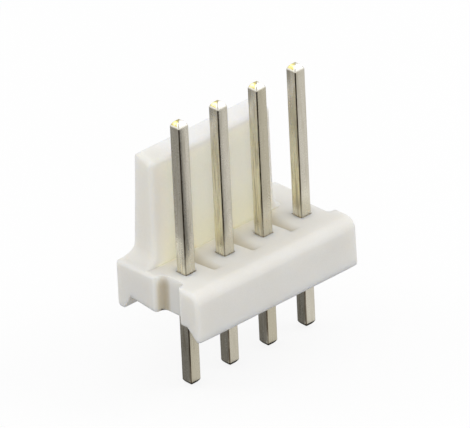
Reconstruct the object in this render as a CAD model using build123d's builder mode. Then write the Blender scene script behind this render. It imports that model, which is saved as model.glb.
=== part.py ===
from build123d import *
import os

os.makedirs("parts", exist_ok=True)

# Upright four-position header with a locking wall. Millimetres.
# The board lies on z = 0, the post row runs along X through the origin, the wall stands at +Y.
positions = 4
pitch = 2.54
end_margin = 0.20

# Posts
post_width = 0.64
post_edge = 0.05
mating_length = 8.13
tail_length = 3.56
mating_point = 0.34
mating_knee = 0.15
mating_knee_width = 0.47
mating_flat = 0.14
tail_point = 0.27
tail_knee = 0.11
tail_knee_width = 0.48
tail_flat = 0.16

# Base the posts stand in
base_height = 2.54
base_depth = 5.66
base_front = 2.28
front_draft = 0.06
top_round = 0.60
corner_round = 0.20
rear_round = 0.20

# Raised underside between the front and rear feet
under_rise = 0.58
under_level = 0.62
under_lean = 0.18
front_foot = 0.18
rear_foot = 0.42
front_foot_slope = 0.60
rear_foot_slope = 0.54
rear_foot_round = 0.26
rear_foot_chamfer = 0.07

# Recess in each end of the base, beside the outer posts
end_step = 0.54
recess_front = 0.90
left_recess_rear = 0.62
right_recess_rear = 1.30
recess_corner = 0.24
recess_lip = 0.24

# Wedge-shaped grooves in the top between the posts, wider toward the wall
groove_front_width = 0.56
groove_rear_width = 1.08
groove_depth = 0.45
groove_front = 0.90
groove_corner = 0.12

# Locking wall, which stops short of the last post
wall_front = 1.30
wall_height = 5.86
wall_top_drop = 0.30
wall_root = 1.36
wall_tip = 1.06
wall_start_inset = 0.68
wall_stop_inset = 1.95
root_rise = 1.15
root_ledge = 0.14
root_radius = 1.60
wall_end_draft = 0.04
wall_corner = 0.28
wall_edge = 0.24
wall_back_edge = 0.15
wall_flare = 0.90

row_length = positions * pitch + 2 * end_margin
base_rear = base_depth - base_front
wall_top = base_height + wall_height
wall_sunk = base_height - groove_depth
wall_start = -row_length / 2 + wall_start_inset
wall_stop = row_length / 2 - wall_stop_inset
post_places = [(number - (positions - 1) / 2) * pitch for number in range(positions)]
groove_places = [x + pitch / 2 for x in post_places[:-1]]

# The flare at each end of the wall is an arc, upright at its top, whose foot meets the rounded end of the base
flare_inset = 0.4 * corner_round
flare_drop = corner_round - (corner_round**2 - (corner_round - flare_inset) ** 2) ** 0.5
flare_reach = wall_start_inset - flare_inset
flare_rise = (2 * wall_flare * flare_reach - flare_reach**2) ** 0.5 - flare_drop

# Locking wall from the side: upright front face, leaning back face, sloped top, curved root behind
with BuildSketch(Plane.YZ) as wall_profile:
    with BuildLine():
        foot = (base_rear - root_ledge, base_height)
        shoulder = (wall_front + wall_root, base_height + root_rise)
        RadiusArc(foot, shoulder, root_radius)
        Polyline(
            shoulder,
            (wall_front + wall_tip, wall_top),
            (wall_front, wall_top - wall_top_drop),
            (wall_front, wall_sunk),
            (foot[0], wall_sunk),
            foot,
        )
    make_face()

# The same profile with its back edge rounded
with BuildSketch(Plane.YZ) as eased_profile:
    add(wall_profile.sketch_local)
    fillet(eased_profile.vertices().sort_by(Axis.Y)[-1], wall_back_edge)

with BuildPart() as wall_blank:
    extrude(wall_profile.sketch, amount=row_length / 2, both=True)
    # Outline from the front: ends that flare at the base and lean in toward the rounded top corners
    with BuildSketch(Plane.XZ.offset(-base_rear)):
        with BuildLine():
            for x, outward in ((wall_start, -1), (wall_stop, 1)):
                flare_foot = (x + outward * flare_reach, base_height - flare_drop)
                flare_top = (x, base_height + flare_rise)
                RadiusArc(flare_foot, flare_top, outward * wall_flare)
                Line(flare_top, (x - outward * wall_end_draft, wall_top))
                Line(flare_foot, (flare_foot[0], wall_sunk))
            Line((wall_start + wall_end_draft, wall_top), (wall_stop - wall_end_draft, wall_top))
            Line((wall_start - flare_reach, wall_sunk), (wall_stop + flare_reach, wall_sunk))
        make_face()
    extrude(amount=base_rear, mode=Mode.INTERSECT)
    # Rounded top corners, eased edges round the front face, then the rounded back edge
    top_face = wall_blank.faces().sort_by(Axis.Z)[-1]
    fillet(top_face.edges().filter_by(Axis.X, reverse=True), wall_corner)
    front_face = wall_blank.faces().filter_by(Axis.Y).sort_by(Axis.Y)[0]
    fillet(front_face.edges().filter_by(lambda e: e.center().Z > base_height), wall_edge)
    extrude(eased_profile.sketch, amount=row_length / 2, both=True, mode=Mode.INTERSECT)

# One groove: runs back to the wall, its flat floor sloping up to the top surface toward +X
with BuildPart() as groove_blank:
    for y, width in ((-groove_front, groove_front_width), (wall_front, groove_rear_width)):
        with BuildSketch(Plane.XZ.offset(-y)):
            with BuildLine():
                Polyline(
                    (-width / 2, base_height),
                    (-width / 2, base_height - groove_depth * width / groove_rear_width),
                    (width / 2, base_height),
                    close=True,
                )
            make_face()
    loft(ruled=True)
    # Rounded front corner at the deep side
    fillet(groove_blank.edges().group_by(Axis.Y)[0].sort_by(Axis.X)[0], groove_corner)

with BuildPart() as header_body:
    # Side profile of the base, with the raised underside, run the full length of the row
    with BuildSketch(Plane.YZ):
        with BuildLine():
            Polyline(
                (-base_front, 0),
                (-base_front + front_foot, 0),
                (-base_front + front_foot + front_foot_slope, under_rise),
                (under_level, under_rise),
                (base_rear - rear_foot - rear_foot_slope, under_rise + under_lean),
                (base_rear - rear_foot, 0),
                (base_rear, 0),
                (base_rear, base_height),
                (-base_front + front_draft, base_height),
                close=True,
            )
        make_face()
    extrude(amount=row_length / 2, both=True)
    # Rear foot eased inside and rounded outside, then the long top edge at the front and the upright corners
    foot_edges = header_body.edges().filter_by(Axis.X).group_by(Axis.Z)[0].sort_by(Axis.Y)
    chamfer(foot_edges[-2], rear_foot_chamfer)
    fillet(header_body.edges().filter_by(Axis.X).group_by(Axis.Z)[0].sort_by(Axis.Y)[-1], rear_foot_round)
    fillet(header_body.edges().filter_by(Axis.X).group_by(Axis.Z)[-1].sort_by(Axis.Y)[0], top_round)
    upright = header_body.edges().filter_by(lambda e: abs(e.tangent_at(0.5).X) < 0.01 and e.length > base_height / 2)
    front_uprights = upright.filter_by(lambda e: abs(e.tangent_at(0.5).Z) > 0.9 and e.center().Y < -base_front / 2)
    fillet(front_uprights, corner_round)
    rear_uprights = header_body.edges().filter_by(Axis.Z).group_by(Axis.Y)[-1]
    fillet(rear_uprights, rear_round)

    add(wall_blank.part)

    # Recesses in both ends, with rounded inner corners and lips
    for side, recess_rear in ((-1, left_recess_rear), (1, right_recess_rear)):
        with BuildSketch(Plane.XY) as recess:
            with Locations((side * (row_length - end_step) / 2, (recess_rear - recess_front) / 2)):
                Rectangle(end_step, recess_front + recess_rear)
            with Locations((side * (row_length + end_step) / 2, (recess_rear - recess_front) / 2)):
                Rectangle(end_step, recess_front + recess_rear + 2 * end_step)
            fillet(recess.vertices().group_by(Axis.X)[1].sort_by(Axis.Y)[1:3], recess_lip)
            fillet(recess.vertices().group_by(Axis.X)[::-side][-1], recess_corner)
        extrude(amount=base_height, mode=Mode.SUBTRACT)

    # Grooves between the posts
    for x in groove_places:
        add(groove_blank.part.moved(Location((x, 0, 0))), mode=Mode.SUBTRACT)

    # Square holes that hold the posts
    with BuildSketch(Plane.XY):
        for x in post_places:
            with Locations((x, 0)):
                RectangleRounded(post_width, post_width, post_edge)
    extrude(amount=base_height, mode=Mode.SUBTRACT)
header_body.part.label = "header_body"
export_step(header_body.part, "parts/header_body.step")

for number, x in enumerate(post_places, start=1):
    with BuildPart() as post:
        # Square shank from the solder tail to the mating end
        with BuildSketch(Plane((x, 0, tail_point - tail_length))):
            RectangleRounded(post_width, post_width, post_edge)
        extrude(amount=base_height + mating_length + tail_length - tail_point - mating_point)
        # Mating end, domed in two tapers
        with BuildSketch(Plane((x, 0, base_height + mating_length - mating_point))):
            RectangleRounded(post_width, post_width, post_edge)
        with BuildSketch(Plane((x, 0, base_height + mating_length - mating_knee))):
            RectangleRounded(mating_knee_width, mating_knee_width, post_edge)
        loft()
        with BuildSketch(Plane((x, 0, base_height + mating_length - mating_knee))):
            RectangleRounded(mating_knee_width, mating_knee_width, post_edge)
        with BuildSketch(Plane((x, 0, base_height + mating_length))):
            RectangleRounded(mating_flat, mating_flat, post_edge)
        loft()
        # Shorter dome on the solder tail
        with BuildSketch(Plane((x, 0, tail_point - tail_length))):
            RectangleRounded(post_width, post_width, post_edge)
        with BuildSketch(Plane((x, 0, tail_knee - tail_length))):
            RectangleRounded(tail_knee_width, tail_knee_width, post_edge)
        loft()
        with BuildSketch(Plane((x, 0, tail_knee - tail_length))):
            RectangleRounded(tail_knee_width, tail_knee_width, post_edge)
        with BuildSketch(Plane((x, 0, -tail_length))):
            RectangleRounded(tail_flat, tail_flat, post_edge)
        loft()
    post.part.label = f"post_{number}"
    export_step(post.part, f"parts/post_{number}.step")
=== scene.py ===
import math

import bmesh
import bpy
from mathutils import Matrix, Vector


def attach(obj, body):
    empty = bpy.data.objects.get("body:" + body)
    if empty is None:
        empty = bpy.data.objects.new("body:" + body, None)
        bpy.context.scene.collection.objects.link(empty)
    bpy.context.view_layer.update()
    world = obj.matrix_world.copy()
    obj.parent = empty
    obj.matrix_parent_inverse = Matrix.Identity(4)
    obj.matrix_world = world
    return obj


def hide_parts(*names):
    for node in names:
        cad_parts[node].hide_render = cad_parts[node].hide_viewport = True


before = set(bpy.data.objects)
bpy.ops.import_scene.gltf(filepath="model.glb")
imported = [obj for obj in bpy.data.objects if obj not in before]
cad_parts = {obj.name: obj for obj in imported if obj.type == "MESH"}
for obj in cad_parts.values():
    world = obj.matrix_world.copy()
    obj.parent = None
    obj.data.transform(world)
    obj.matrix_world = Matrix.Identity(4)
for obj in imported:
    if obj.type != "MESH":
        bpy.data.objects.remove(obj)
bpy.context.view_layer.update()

mm = 0.001
noiseMiddle = 0.5  # a noise pattern's mean

# the row of posts, in millimetres, as every piece and finish below needs it
row = {
    "pitch": 2.54,
    "places": (-3.81, -1.27, 1.27, 3.81),
    "postWidth": 0.64,
}


# shader arithmetic: a socket that takes plain Python expressions

class Wire:
    def __init__(self, finish, socket):
        self.finish = finish
        self.socket = socket

    def math(self, operation, first, second):
        made = self.finish.add("ShaderNodeMath", {"operation": operation}, {0: first, 1: second})
        return self.finish.wire(made, 0)

    def __add__(self, other):
        return self.math("ADD", self, other)

    def __radd__(self, other):
        return self.math("ADD", other, self)

    def __sub__(self, other):
        return self.math("SUBTRACT", self, other)

    def __rsub__(self, other):
        return self.math("SUBTRACT", other, self)

    def __mul__(self, other):
        return self.math("MULTIPLY", self, other)

    def __rmul__(self, other):
        return self.math("MULTIPLY", other, self)

    def __abs__(self):
        return self.math("ABSOLUTE", self, 0)

    def larger(self, other):
        return self.math("MAXIMUM", self, other)

    def smaller(self, other):
        return self.math("MINIMUM", self, other)

    def between(self, low, high):
        # low where this is 0, high where it is 1
        return self * (high - low) + low

    def rampTo(self, low, high):
        # 0 below low, 1 above high, smooth between; low may be the greater one
        made = self.finish.add("ShaderNodeMapRange", {"interpolation_type": "SMOOTHSTEP"}, {
            "Value": self, "From Min": low, "From Max": high, "To Min": 0.0, "To Max": 1.0})
        return self.finish.wire(made, 0)


class Finish:
    # one material or world: add() makes any node, wire() wraps an output
    def __init__(self, name, world=False):
        self.block = bpy.data.worlds.new(name) if world else bpy.data.materials.new(name)
        self.block.use_nodes = True
        self.tree = self.block.node_tree
        self.tree.nodes.clear()

    def add(self, kind, settings, values):
        made = self.tree.nodes.new(kind)
        for key, value in settings.items():
            setattr(made, key, value)
        for key, value in values.items():
            socket = made.inputs[key]
            if isinstance(value, Wire):
                self.tree.links.new(value.socket, socket)
            elif socket.type == "RGBA":
                socket.default_value = (*value, 1.0)
            else:
                socket.default_value = value
        return made

    def wire(self, made, output):
        return Wire(self, made.outputs[output])

    def millimetres(self):
        # object coordinates as millimetres
        place = self.add("ShaderNodeTexCoord", {}, {})
        return self.stretch(self.wire(place, "Object"), (1000.0, 1000.0, 1000.0))

    def stretch(self, vector, scale):
        made = self.add("ShaderNodeMapping", {"vector_type": "POINT"}, {"Vector": vector, "Scale": scale})
        return self.wire(made, 0)

    def axes(self, vector):
        parts = self.add("ShaderNodeSeparateXYZ", {}, {0: vector})
        return self.wire(parts, 0), self.wire(parts, 1), self.wire(parts, 2)

    def noise(self, vector, pattern):
        scale, detail, roughness = pattern
        made = self.add("ShaderNodeTexNoise", {"noise_dimensions": "3D"},
                        {"Vector": vector, "Scale": scale, "Detail": detail, "Roughness": roughness})
        return self.wire(made, 0)

    def zone(self, measures, where):
        # product of smooth ramps: for each measure, pairs of the value where one starts and where it is full
        product = None
        for name, pairs in where.items():
            for start, full in pairs:
                ramp = measures[name].rampTo(start, full)
                product = ramp if product is None else product * ramp
        return product

    def blend(self, factor, first, second):
        made = self.add("ShaderNodeMix", {"data_type": "RGBA"}, {0: factor, 6: first, 7: second})
        return self.wire(made, 2)

    def bump(self, height, look):
        made = self.add("ShaderNodeBump", {}, {
            "Strength": look["bumpStrength"], "Distance": look["bumpDepth"] * mm, "Height": height})
        return self.wire(made, 0)

    def seenRays(self):
        # 1 for what the camera sees, straight, mirrored or through something, and 0 for soft light
        rays = self.add("ShaderNodeLightPath", {}, {})
        mirrored = self.wire(rays, "Is Glossy Ray").larger(self.wire(rays, "Is Transmission Ray"))
        return self.wire(rays, "Is Camera Ray").larger(mirrored)

    def output(self, surface):
        isWorld = isinstance(self.block, bpy.types.World)
        self.add("ShaderNodeOutputWorld" if isWorld else "ShaderNodeOutputMaterial", {}, {"Surface": surface})
        return self.block


# nylon moulding: colours, patterns as scale, detail and roughness, and tints laid on in their order

nylonLook = {
    "colour": (0.775, 0.76, 0.722),
    "pale": (0.805, 0.80, 0.775),
    "creamPaintedLight": (1.0, 0.962, 0.852),
    "glow": (1.0, 0.98, 0.86),
    "paintedTopLight": (0.88, 0.875, 0.865),
    "honeyPaintedGlow": (0.95, 0.90, 0.70),
    "paintedGrooveShade": (0.60, 0.54, 0.415),
    "paintedRecessShade": (0.57, 0.495, 0.345),
    "fleck": (0.68, 0.66, 0.615),
    "seamShadow": (0.24, 0.17, 0.10),
    "cloudy": (0.55, 4.0, 0.55),
    "speckle": (9.0, 5.0, 0.6),
    "grain": (26.0, 4.0, 0.6),
    "cloudRange": (0.35, 0.7),
    "cloudShare": 0.5,
    "grainRange": (0.42, 0.66),
    "grainShare": 0.3,
    "seamShadowRange": (0.06, 0.015),  # out from the post's side
    "seamShadowShare": 0.65,
    "bumpShares": (0.4, 0.35, 0.25),  # cloudy, speckle, grain
    "bumpStrength": 0.35,
    "bumpDepth": 0.03,
    "roughness": 0.6,
    "roughnessSpread": 0.2,
    "shine": 0.2,
    "scatter": (1.0, 0.93, 0.8),
    "scatterDepth": 0.9,
    "tints": (
        # painted light: the wall's front face painted a brighter cream all over, for light that comes through
        # the thin wall
        {"colour": "creamPaintedLight", "share": 0.95, "where": {
            "x": ((-4.75, -3.2), (3.3, 2.7)),
            "y": ((1.25, 1.29), (1.6, 1.4)),
            "z": ((2.545, 2.6), (8.4, 7.5))}},
        # painted light: the crease at the wall's foot painted with a pale glow, so that it shows no shade
        {"colour": "glow", "share": 0.8, "where": {
            "x": ((-4.6, -4.2), (3.2, 2.9)),
            "y": ((1.18, 1.26), (1.45, 1.35)),
            "z": ((2.5, 2.53), (2.72, 2.6))}},
        # painted light: whiter along the wall's top, as lit from above, and a little of the painted cream on
        # its end
        {"colour": "paintedTopLight", "share": 1.0, "where": {
            "x": ((-4.2, -2.6),),
            "z": ((7.6, 8.12),)}},
        {"colour": "creamPaintedLight", "share": 0.2, "where": {
            "x": ((-4.2, -4.5),),
            "y": ((1.25, 1.4),),
            "z": ((2.5, 3.1),)}},
        # painted light: a yellower, slightly darker honey glow painted low on the wall's front, where the
        # nylon behind it is thick and lets light through
        {"colour": "honeyPaintedGlow", "share": 0.8, "where": {
            "x": ((-4.75, -3.2), (3.3, 2.7)),
            "y": ((1.25, 1.29), (1.6, 1.4)),
            "z": ((2.545, 2.6), (5.4, 2.5))}},
        # the same painted honey glow on the top surface in front of the wall
        {"colour": "honeyPaintedGlow", "share": 0.45, "where": {
            "outward": ((4.6, 3.9),),
            "x": ((3.8, 2.7),),
            "y": ((0.3, 1.4), (3.0, 1.6)),
            "z": ((1.9, 2.1), (2.62, 2.56))}},
        # painted shade: tan painted along the deep side of each groove
        {"colour": "paintedGrooveShade", "share": 0.75, "where": {
            "outward": ((3.4, 3.2),),
            "y": ((-1.0, -0.8), (1.6, 1.4)),
            "z": ((1.9, 2.05), (2.535, 2.32))}},
        # painted shade: darker colour painted in the inner corner of each end recess
        {"colour": "paintedRecessShade", "share": 0.85, "where": {
            "outward": ((4.62, 4.78), (5.30, 5.05)),
            "y": ((0.1, 0.4), (0.9, 0.5)),
            "z": ((2.56, 1.9),)}},
    ),
}


def makeNylon(look):
    finish = Finish("natural_nylon")
    place = finish.millimetres()
    x, y, z = finish.axes(place)
    measures = {"x": x, "y": y, "z": z, "outward": abs(x)}
    cloudy, speckle, grain = (finish.noise(place, look[name]) for name in ("cloudy", "speckle", "grain"))
    clouds = cloudy.rampTo(*look["cloudRange"]) * look["cloudShare"]
    colour = finish.blend(clouds, look["colour"], look["pale"])
    for tint in look["tints"]:
        reach = finish.zone(measures, tint["where"])
        colour = finish.blend(reach * tint["share"], colour, look[tint["colour"]])
    flecks = grain.rampTo(*look["grainRange"]) * look["grainShare"]
    colour = finish.blend(flecks, colour, look["fleck"])
    # painted shadow: a thin dark line where each post enters
    fades, full = (row["postWidth"] / 2 + out for out in look["seamShadowRange"])
    for postPlace in row["places"]:
        away = abs(x - postPlace).larger(abs(y))
        colour = finish.blend(away.rampTo(fades, full) * look["seamShadowShare"], colour, look["seamShadow"])
    height = sum(pattern * share for pattern, share in zip((cloudy, speckle, grain), look["bumpShares"]))
    shader = finish.add("ShaderNodeBsdfPrincipled", {"subsurface_method": "RANDOM_WALK"}, {
        "Base Color": colour,
        "Roughness": look["roughness"] + (speckle - noiseMiddle) * look["roughnessSpread"],
        "Subsurface Weight": 1.0,
        "Subsurface Radius": look["scatter"],
        "Subsurface Scale": look["scatterDepth"] * mm,
        "Specular IOR Level": look["shine"],
        "IOR": 1.53,  # nylon
        "Normal": finish.bump(height, look),
    })
    return finish.output(finish.wire(shader, 0))


# tin-plated posts: colours, patterns as above, and zones by the measures that makeTin takes over a post

tinLook = {
    "colour": (0.60, 0.565, 0.48),
    "dull": (0.47, 0.43, 0.32),
    "paintedDarkReflection": (0.09, 0.065, 0.04),
    "paintedReflection": (0.89, 0.85, 0.70),
    "clean": (0.87, 0.855, 0.80),
    "drawnLineAndRidgeShade": (0.30, 0.25, 0.16),
    "bare": (0.82, 0.75, 0.38),
    "shadedBare": (0.56, 0.48, 0.17),
    "streakStretch": (9.0, 9.0, 0.35),
    "streaks": (1.6, 5.0, 0.6),
    "lineStretch": (6.5, 6.5, 0.32),
    "lines": (1.6, 6.0, 0.72),
    "blotches": (1.3, 4.0, 0.6),
    "patches": (6.5, 2.0, 0.5),
    "pits": (18.0, 3.0, 0.5),
    "tipStart": 10.355,
    "tailStart": -3.36,
    "cutSlant": 0.45,
    "zones": {
        "streaky": {"streaks": ((0.45, 0.75),)},
        "blotchy": {"blotches": ((0.5, 0.75),)},
        "front": {"y": ((-0.28, -0.31),)},
        "left": {"across": ((-0.28, -0.31),)},
        "firstPost": {"x": ((-2.6, -3.2),)},
        "thirdPost": {"x": ((0.2, 0.5), (2.3, 2.0))},
        "lastPost": {"x": ((2.6, 3.2),)},
        "tail": {"z": ((0.5, -0.5),)},
        "frontFoot": {"z": ((2.0, 2.4), (4.8, 3.4))},
        "overBase": {"z": ((2.2, 2.5),)},
        "inBase": {"z": ((2.2, 2.0),)},  # and below it
        "underTip": {"z": ((10.4, 6.6),)},
        "highUp": {"z": ((5.5, 8.0),)},
        "lowDown": {"z": ((4.7, 4.0),)},
        "reflectionLines": {"lines": ((0.35, 0.6),)},
        "darkLines": {"lines": ((0.52, 0.36),)},
        "underBase": {"z": ((0.5, 0.0),)},
        "tip": {"overTip": ((0.01, 0.06),)},
        "corner": {"inCorner": ((0.252, 0.282),), "overTip": ((0.02, -0.03),)},
        "nearCorner": {"acrossAndBack": ((-0.3, -0.45),)},
        "paintedDarkPatches": {"blotches": ((0.25, 0.55),)},
        "darkerUp": {"z": ((2.6, 4.4),)},
        "tailEnd": {"overTailEnd": ((0.09, 0.03),)},
        "ridge": {"offRidge": ((0.036, 0.012),), "overTip": ((0.02, 0.05),)},
        "cutSide": {"towardCut": ((-0.07, 0.0),), "overTip": ((0.05, 0.10),)},
        "patchy": {"patches": ((0.36, 0.66),)},
        "rough": {"streaks": ((0.4, 0.75),)},
    },
    # how much of its colour each zone takes, or from how much to how much
    "shares": {
        "streaky": 0.7,
        "blotchy": 0.25,
        "darkerFirstTail": 0.4,
        "darkerTails": 0.5,
        "darkerFront": 0.75,
        "paintedReflectionFront": 0.42,
        "reflectionLines": (0.4, 1.0),
        "darkLines": (0.4, 0.7),
        "tip": 0.85,
        "darkerUp": (0.5, 1.0),
        "paintedDarkPatches": (0.6, 1.0),
        "paintedDarkReflection": (0.2, 0.95),
        "tailEnd": 0.85,
        "ridge": 0.75,
    },
    "bumpShares": (0.7, 0.3),  # streaks, pits
    "bumpStrength": 0.2,
    "bumpDepth": 0.02,
    "roughness": 0.27,
    "streakRoughness": 0.14,
    "pitRoughness": 0.1,
}


def makeTin(look):
    finish = Finish("tin_plate")
    place = finish.millimetres()
    x, y, z = finish.axes(place)
    # distance across each post from its own middle
    half = row["pitch"] / 2
    wrapped = finish.add("ShaderNodeMath", {"operation": "WRAP"}, {
        0: x - row["places"][0], 1: half, 2: -half})
    across = finish.wire(wrapped, 0)
    streaks = finish.noise(finish.stretch(place, look["streakStretch"]), look["streaks"])
    pits = finish.noise(place, look["pits"])
    measures = {
        "x": x,
        "y": y,
        "z": z,
        "across": across,
        "overTip": z - look["tipStart"],
        "overTailEnd": z - look["tailStart"],
        "inCorner": abs(across).smaller(abs(y)),
        "acrossAndBack": across + y,
        "offRidge": abs(abs(across) - abs(y)),
        "towardCut": y - across * look["cutSlant"],
        "streaks": streaks,
        "lines": finish.noise(finish.stretch(place, look["lineStretch"]), look["lines"]),
        "blotches": finish.noise(place, look["blotches"]),
        "patches": finish.noise(place, look["patches"]),
    }
    zone = {name: finish.zone(measures, where) for name, where in look["zones"].items()}
    share = look["shares"]
    colour = finish.blend(zone["streaky"] * share["streaky"], look["colour"], look["dull"])
    colour = finish.blend(zone["blotchy"] * share["blotchy"], colour, look["dull"])
    # the third post's front is a little darker, and so are the tails' fronts, the first one most and the last
    # one not
    darkerTail = zone["firstPost"] * share["darkerFirstTail"] + (1 - zone["lastPost"]) * share["darkerTails"]
    darkerFront = zone["front"] * zone["thirdPost"].larger(zone["tail"] * darkerTail)
    colour = finish.blend(darkerFront * share["darkerFront"], colour, look["dull"])
    # painted reflection: front faces painted lighter near their foot, for the nylon they mirror
    colour = finish.blend(zone["front"] * zone["frontFoot"] * share["paintedReflectionFront"], colour, look["paintedReflection"])
    # painted reflection: left faces painted lighter, for the nylon they mirror, but not high on the last
    # post, and only at the foot of the first
    others = (1 - zone["firstPost"]) * zone["underTip"] * (1 - zone["lastPost"] * zone["highUp"])
    paintedReflectionLeft = zone["left"] * zone["overBase"] * others.larger(zone["firstPost"] * zone["lowDown"])
    colour = finish.blend(paintedReflectionLeft * zone["reflectionLines"].between(*share["reflectionLines"]), colour, look["paintedReflection"])
    # fine drawn lines down the left faces
    lined = zone["left"] * zone["darkLines"] * zone["underBase"].between(*share["darkLines"])
    colour = finish.blend(lined, colour, look["drawnLineAndRidgeShade"])
    colour = finish.blend(zone["tip"] * share["tip"], colour, look["clean"])
    # painted reflection: dark colour painted along the upright corners, for the dark surroundings they
    # mirror, most along the one at the front left
    upOrTail = zone["darkerUp"].between(*share["darkerUp"]).larger(zone["inBase"])
    nearest = zone["nearCorner"] * zone["paintedDarkPatches"].between(*share["paintedDarkPatches"]) * upOrTail
    colour = finish.blend(zone["corner"] * nearest.between(*share["paintedDarkReflection"]), colour, look["paintedDarkReflection"])
    # painted reflection: the tail ends painted dark, for the dark floor they mirror
    colour = finish.blend(zone["tailEnd"] * share["tailEnd"], colour, look["paintedDarkReflection"])
    # base metal shows on the cut side of the tip, with a faint dark line of painted shade along the ridges
    bare = finish.blend(zone["patchy"], look["bare"], look["shadedBare"])
    colour = finish.blend(zone["cutSide"], colour, bare)
    colour = finish.blend(zone["ridge"] * share["ridge"], colour, look["drawnLineAndRidgeShade"])
    uneven = zone["rough"] * look["streakRoughness"] + (pits - noiseMiddle) * look["pitRoughness"]
    height = sum(pattern * part for pattern, part in zip((streaks, pits), look["bumpShares"]))
    shader = finish.add("ShaderNodeBsdfPrincipled", {}, {
        "Base Color": colour,
        "Metallic": 1.0,
        "Roughness": look["roughness"] + uneven,
        "Normal": finish.bump(height, look),
    })
    return finish.output(finish.wire(shader, 0))


nylon = makeNylon(nylonLook)
tin = makeTin(tinLook)
print("materials ready")


def dress(piece, material):
    piece.data.materials.clear()
    piece.data.materials.append(material)
    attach(piece, "root")


def finishPiece(name, bm, sharpAngle):
    # closes a bmesh into an object at the origin, smooth with crisp edges above sharpAngle
    bmesh.ops.recalc_face_normals(bm, faces=bm.faces)
    for face in bm.faces:
        face.smooth = True
    for edge in bm.edges:
        if len(edge.link_faces) == 2:
            edge.smooth = edge.calc_face_angle() < math.radians(sharpAngle)
    mesh = bpy.data.meshes.new(name)
    bm.to_mesh(mesh)
    bm.free()
    piece = bpy.data.objects.new(name, mesh)
    bpy.context.scene.collection.objects.link(piece)
    return piece


# posts

postShape = {
    "bottom": -3.56,
    "top": 10.67,
    "cornerRadius": 0.06,
    "cornerSteps": 4,
    "sharp": 22,
    # how far each ring of a domed end goes on along the post, and how far in
    "tip": ((0.09, 0.042), (0.085, 0.055), (0.07, 0.062), (0.048, 0.062), (0.022, 0.052)),
    "tail": ((0.07, 0.038), (0.065, 0.050), (0.055, 0.056), (0.040, 0.052), (0.020, 0.048)),
}


def domeEnd(bm, face, steps, direction):
    # walks an end face outward in rings: each goes on along the post and in toward its middle
    half = row["postWidth"] / 2
    for rise, inward in steps:
        bmesh.ops.inset_region(bm, faces=[face], thickness=0.0, depth=0.0, use_even_offset=True)
        share = (half - inward) / half
        half -= inward
        centre = face.calc_center_median()
        bmesh.ops.scale(bm, vec=(share, share, 1.0), space=Matrix.Translation(-centre), verts=face.verts)
        bmesh.ops.translate(bm, vec=(0.0, 0.0, direction * rise * mm), verts=face.verts)


def buildPost(name, x, shape):
    tipHeight = sum(rise for rise, inward in shape["tip"])
    tailHeight = sum(rise for rise, inward in shape["tail"])
    low = (shape["bottom"] + tailHeight) * mm
    high = (shape["top"] - tipHeight) * mm
    width = row["postWidth"] * mm
    bm = bmesh.new()
    bmesh.ops.create_cube(bm, size=1.0)
    bmesh.ops.scale(bm, vec=(width, width, high - low), verts=bm.verts)
    bmesh.ops.translate(bm, vec=(x * mm, 0.0, (high + low) / 2), verts=bm.verts)
    upright = [e for e in bm.edges if abs(e.verts[0].co.z - e.verts[1].co.z) > mm]
    bmesh.ops.bevel(bm, geom=upright, offset=shape["cornerRadius"] * mm, offset_type="OFFSET", affect="EDGES",
                    segments=shape["cornerSteps"], profile=0.5, material=-1)
    domeEnd(bm, max(bm.faces, key=lambda f: f.calc_center_median().z), shape["tip"], 1)
    domeEnd(bm, min(bm.faces, key=lambda f: f.calc_center_median().z), shape["tail"], -1)
    return finishPiece(name, bm, shape["sharp"])


for number, x in enumerate(row["places"], start=1):
    post = buildPost(f"tin_post_{number}", x, postShape)
    dress(post, tin)
    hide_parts(f"post_{number}")
print("posts ready")


# moulded body

bodyShape = {
    "sharp": 28,
    "merge": 0.002,
    "flat": 1.0,
    "ease": 0.16,
    "easeSteps": 4,
    "room": 1.5,  # an easing needs sides this many times as long as itself
    "plain": 0.3,
    # places that are eased more, with x outward from the row's middle and each share one of the full ease
    "soft": (
        # the recesses' top edges, their bottom edges, and the front foot's end
        {"x": (4.60, 5.30), "y": (-1.60, 1.70), "z": (2.45, 2.60), "share": 1.0},
        {"x": (4.60, 5.30), "y": (-1.55, 1.70), "z": (0.45, 0.75), "share": 0.8},
        {"x": (4.60, 5.30), "y": (-2.30, -0.80), "z": (-0.01, 0.50), "share": 0.6},
    ),
}


def easeShare(edge, shape):
    # how much of the full easing an edge gets, or None where it isn't crisp
    if len(edge.link_faces) != 2 or edge.calc_face_angle() < math.radians(shape["sharp"]):
        return None
    middle = (edge.verts[0].co + edge.verts[1].co) / 2 / mm
    place = {"x": abs(middle.x), "y": middle.y, "z": middle.z}
    share = shape["plain"]
    for area in shape["soft"]:
        if all(area[axis][0] < place[axis] < area[axis][1] for axis in "xyz"):
            share = area["share"]
    return share


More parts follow.
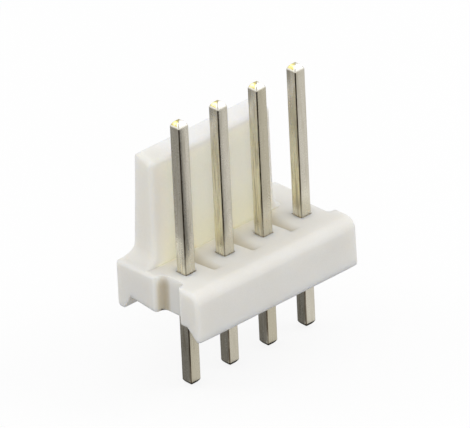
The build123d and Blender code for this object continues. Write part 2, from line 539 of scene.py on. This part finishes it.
def buildBody(name, shape):
    bm = bmesh.new()
    bm.from_mesh(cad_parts["header_body"].data)
    bmesh.ops.remove_doubles(bm, verts=bm.verts, dist=shape["merge"] * mm)
    bmesh.ops.dissolve_limit(bm, angle_limit=math.radians(shape["flat"]), verts=bm.verts, edges=bm.edges)
    weight = bm.edges.layers.float.new("bevel_weight_edge")
    shares = {edge: easeShare(edge, shape) for edge in bm.edges}
    eased = {edge: share for edge, share in shares.items() if share is not None}
    # edges that meet a side too short for their easing stay crisp, until no more are found
    crowded = True
    while crowded:
        crowded = []
        for edge, share in eased.items():
            needed = share * shape["ease"] * shape["room"] * mm
            sides = [side for corner in edge.verts for side in corner.link_edges if side not in eased]
            if any(side.calc_length() < needed for side in sides):
                crowded.append(edge)
        for edge in crowded:
            del eased[edge]
    for edge, share in eased.items():
        edge[weight] = share
    piece = finishPiece(name, bm, shape["sharp"])
    ease = piece.modifiers.new("edgeEase", "BEVEL")
    ease.width = shape["ease"] * mm
    ease.segments = shape["easeSteps"]
    ease.limit_method = "WEIGHT"
    ease.use_clamp_overlap = False
    ease.harden_normals = False
    even = piece.modifiers.new("evenNormals", "WEIGHTED_NORMAL")
    even.keep_sharp = True
    return piece


body = buildBody("nylon_body", bodyShape)
dress(body, nylon)
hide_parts("header_body")
for nodeName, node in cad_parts.items():
    if nodeName == "header_body":
        dress(node, nylon)
    else:
        dress(node, tin)
print("body ready")


# floor and light

stageLook = {
    "floorHeight": -3.57,
    "floorSize": 2.0,
    "floorPaper": (0.92, 0.92, 0.92),
    "floorBounce": (0.37, 0.37, 0.37),
    "floorGlow": 0.85,
    "worldLevel": 0.82,
    "white": (1.0, 1.0, 1.0),
    "sharp": 30,
}


def makeFloor(look):
    finish = Finish("paper_floor")
    seen = finish.seenRays()
    tone = finish.blend(seen, look["floorBounce"], look["floorPaper"])
    paper = finish.add("ShaderNodeBsdfDiffuse", {}, {"Color": tone})
    glow = finish.add("ShaderNodeEmission", {}, {"Color": look["white"], "Strength": 1.0})
    both = finish.add("ShaderNodeMixShader", {}, {
        0: seen * look["floorGlow"], 1: finish.wire(paper, 0), 2: finish.wire(glow, 0)})
    bm = bmesh.new()
    bmesh.ops.create_grid(bm, x_segments=1, y_segments=1, size=look["floorSize"])
    bmesh.ops.translate(bm, vec=(0.0, 0.0, look["floorHeight"] * mm), verts=bm.verts)
    floor = finishPiece("paper_floor", bm, look["sharp"])
    floor.data.materials.append(finish.output(finish.wire(both, 0)))


def makeWorld(look):
    finish = Finish("studio", world=True)
    soft = finish.add("ShaderNodeBackground", {}, {"Color": look["white"], "Strength": look["worldLevel"]})
    white = finish.add("ShaderNodeBackground", {}, {"Color": look["white"], "Strength": 1.0})
    both = finish.add("ShaderNodeMixShader", {}, {
        0: finish.seenRays(), 1: finish.wire(soft, 0), 2: finish.wire(white, 0)})
    bpy.context.scene.world = finish.output(finish.wire(both, 0))


lamps = {
    "cameraSoft": {"place": (-210, -228, 100), "aim": (0, 0, 3), "size": 170, "level": 2.3},
    "leftRearSoft": {"place": (-138, 194, 176), "aim": (0, 0, 6), "size": 130, "level": 2.0},
    "rightFrontSoft": {"place": (178, -137, 188), "aim": (0, 0, 6), "size": 130, "level": 3.1},
}


def addLamp(name, look):
    data = bpy.data.lights.new(name, "AREA")
    data.shape = "SQUARE"
    data.size = look["size"] * mm
    data.energy = look["level"] * math.pi * (look["size"] * mm) ** 2
    lamp = bpy.data.objects.new(name, data)
    bpy.context.scene.collection.objects.link(lamp)
    lamp.location = Vector(look["place"]) * mm
    lamp.rotation_euler = (Vector(look["aim"]) * mm - lamp.location).to_track_quat("-Z", "Y").to_euler()


# cards on the floor, which only the metal's reflections meet: each glows with its shade, light or dark, for
# the surroundings mirrored there; the degrees and the ring that each one fills, and its shades near the row
# and far from it
cards = {
    "frontCard": {"degrees": (-160, -64), "ring": (5.5, 160), "shades": (0.02, 0.02), "height": -3.4},
    "rightCard": {"degrees": (-64, 40), "ring": (5.5, 160), "shades": (0.93, 0.93), "height": -3.5},
    "leftCard": {"degrees": (62, 180), "ring": (0.3, 160), "shades": (0.23, 0.42), "height": -3.45},
    "underCard": {"degrees": (0, 62), "ring": (0.3, 6.0), "shades": (0.2, 0.2), "height": -3.45},
    "footCard": {"degrees": (118, 150), "ring": (12.5, 17.5), "shades": (0.9, 0.9), "height": -3.43},
    "leftRest": {"degrees": (180, 200), "ring": (5.5, 160), "shades": (0.36, 0.42), "height": -3.42},
}
for number, x in enumerate(row["places"], start=1):
    cards[f"tailDisc{number}"] = {
        "degrees": (0, 360), "ring": (0.001, 0.7), "shades": (0.07, 0.07), "height": -3.565, "centre": x}
cardLook = {
    "near": 6.0,
    "far": 22.0,
    "steps": 24,
    "sharp": 30,
}


def addCard(name, card, look):
    finish = Finish(name)
    x, y, z = finish.axes(finish.millimetres())
    away = (x * x + y * y).rampTo(look["near"] ** 2, look["far"] ** 2)
    near, far = card["shades"]
    shade = finish.blend(away, (near, near, near), (far, far, far))
    reflectedGlow = finish.add("ShaderNodeEmission", {}, {"Color": shade, "Strength": 1.0})
    start, stop = (math.radians(angle) for angle in card["degrees"])
    centre = card.get("centre", 0.0)
    bm = bmesh.new()
    ends = [bm.verts.new(((centre + math.cos(start) * r) * mm, math.sin(start) * r * mm, card["height"] * mm))
            for r in card["ring"]]
    edge = bm.edges.new(ends)
    bmesh.ops.spin(bm, geom=[*ends, edge], cent=(centre * mm, 0.0, 0.0), axis=(0.0, 0.0, 1.0),
                   steps=look["steps"], angle=stop - start, use_duplicate=False)
    piece = finishPiece(name, bm, look["sharp"])
    piece.data.materials.append(finish.output(finish.wire(reflectedGlow, 0)))
    piece.visible_camera = False
    piece.visible_diffuse = False
    piece.visible_shadow = False
    piece.visible_transmission = False


makeFloor(stageLook)
for cardName, card in cards.items():
    addCard(cardName, card, cardLook)
makeWorld(stageLook)
for lampName, lampLook in lamps.items():
    addLamp(lampName, lampLook)
bpy.context.scene.view_settings.view_transform = "Standard"


# camera at the photograph's angle

cameraView = {
    "azimuth": -42.507525,
    "elevation": 28.647756,
    "roll": -2.719510,
    "across": 0.437775,
    "up": -1.331736,
    "distance": 550.0,
    "focal": 11570.5345,
    "frameWidth": 470.0,
    "sensor": 36.0,
    "target": (0.0, 0.0, 2.54),
    "nearest": 10.0,
    "furthest": 10000.0,
}


def addCamera(look):
    turn, lift, roll = (math.radians(look[key]) for key in ("azimuth", "elevation", "roll"))
    side = Vector((math.cos(turn), math.sin(turn), 0.0))
    back = Vector((math.sin(turn) * math.cos(lift), -math.cos(turn) * math.cos(lift), math.sin(lift)))
    over = back.cross(side)
    across = side * math.cos(roll) + over * math.sin(roll)
    upward = over * math.cos(roll) - side * math.sin(roll)
    place = Vector(look["target"]) + back * look["distance"] - across * look["across"] - upward * look["up"]
    data = bpy.data.cameras.new("photo_camera")
    data.sensor_width = look["sensor"]
    data.lens = look["focal"] / look["frameWidth"] * look["sensor"]
    data.clip_start = look["nearest"] * mm
    data.clip_end = look["furthest"] * mm
    camera = bpy.data.objects.new("photo_camera", data)
    bpy.context.scene.collection.objects.link(camera)
    turned = Matrix((across, upward, back)).transposed().to_4x4()
    camera.matrix_world = Matrix.Translation(place * mm) @ turned
    bpy.context.scene.camera = camera


addCamera(cameraView)
print("stage and camera ready")
